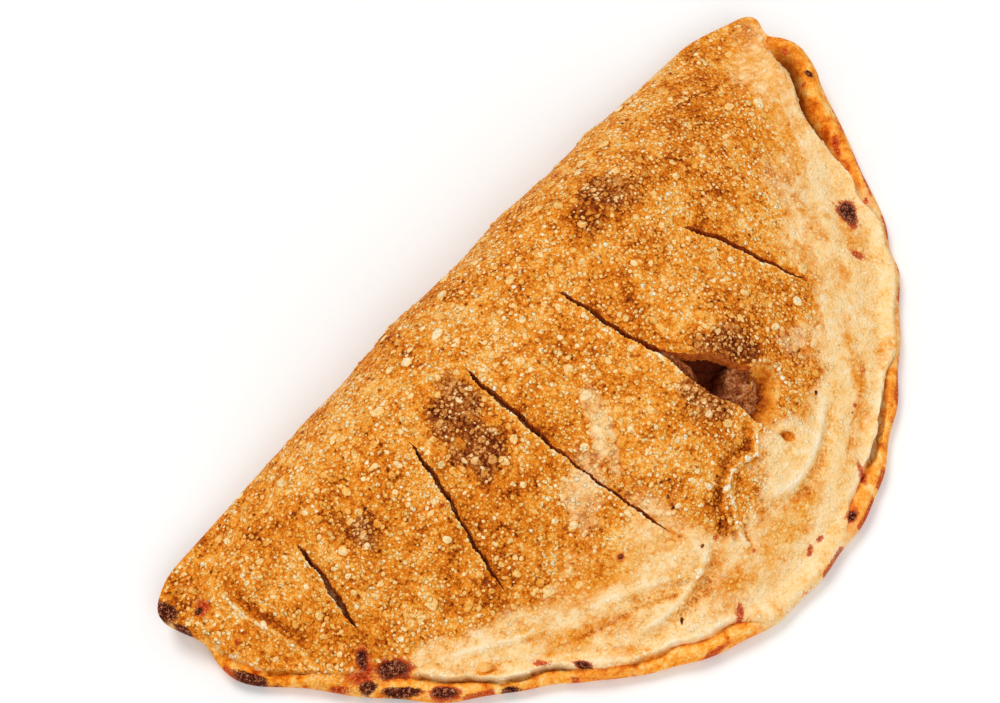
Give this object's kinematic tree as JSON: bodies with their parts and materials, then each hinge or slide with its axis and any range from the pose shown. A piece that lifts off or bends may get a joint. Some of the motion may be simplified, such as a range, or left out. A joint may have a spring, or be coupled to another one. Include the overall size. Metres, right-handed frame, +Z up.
{
  "type": "calzone",
  "caption": "Half-moon baked dough parcel with a crimped rim, slit vents and a torn hole that shows its filling.",
  "frame": {"origin": "middle of the bounding box, on the surface that the part rests on", "axes": "+X along the folded edge, +Y towards the folded edge, away from the crimped rim, +Z up"},
  "size_m": [0.2727, 0.1479, 0.0394],
  "materials": {
    "crust": "matte, blistered and browned",
    "filling": "lumpy, with a slight gloss"
  },
  "bodies": {
    "root": {"crust": "crust", "filling": "filling"}
  },
  "joints": []
}
